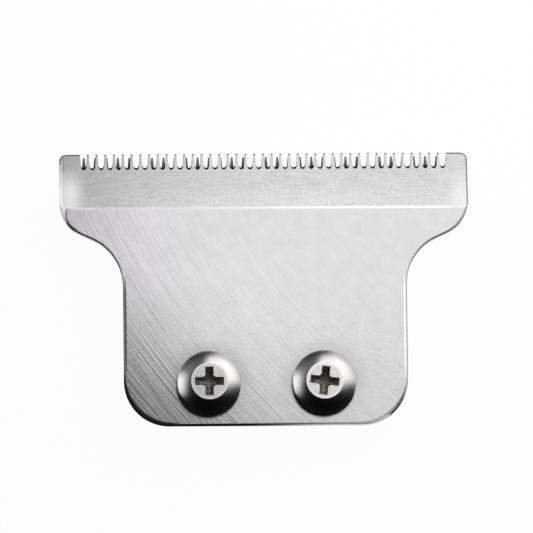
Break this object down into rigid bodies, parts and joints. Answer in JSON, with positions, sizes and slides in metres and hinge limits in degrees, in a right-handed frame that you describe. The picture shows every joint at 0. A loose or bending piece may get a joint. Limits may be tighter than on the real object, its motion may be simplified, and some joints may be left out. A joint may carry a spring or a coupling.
{
  "type": "hair clipper blade",
  "caption": "T-shaped trimmer blade set: a hollow-ground toothed steel plate on two domed screws, with a spring-loaded sliding cutter on a moulded seat behind it.",
  "frame": {"origin": "under the middle of the blade's outline, on the plane of the seat's rim, on which the set lies face up", "axes": "+X across the tooth row, +Y towards the tooth tips, +Z out of the blade's face"},
  "size_m": [0.0396, 0.0266, 0.0079],
  "materials": {
    "blade_steel": "ground, with diagonal scratches on the face",
    "cutter_steel": "ground",
    "block_plastic": "moulded, satin",
    "spring_steel": "rolled strip",
    "seat_plastic": "moulded, fine texture",
    "insert_brass": "machined",
    "screw_chrome": "polished"
  },
  "bodies": {
    "blade_set": {"fixed_blade": "blade_steel", "tension_spring": "spring_steel", "blade_seat": "seat_plastic", "threaded_inserts": "insert_brass", "mounting_screws": "screw_chrome"},
    "cutter": {"cutter_blade": "cutter_steel", "drive_block": "block_plastic"}
  },
  "joints": [
    {"name": "cutter_slide", "type": "slide", "parent": "blade_set", "child": "cutter", "axis": [1, 0, 0], "range_m": [-0.00058, 0.00222]}
  ]
}
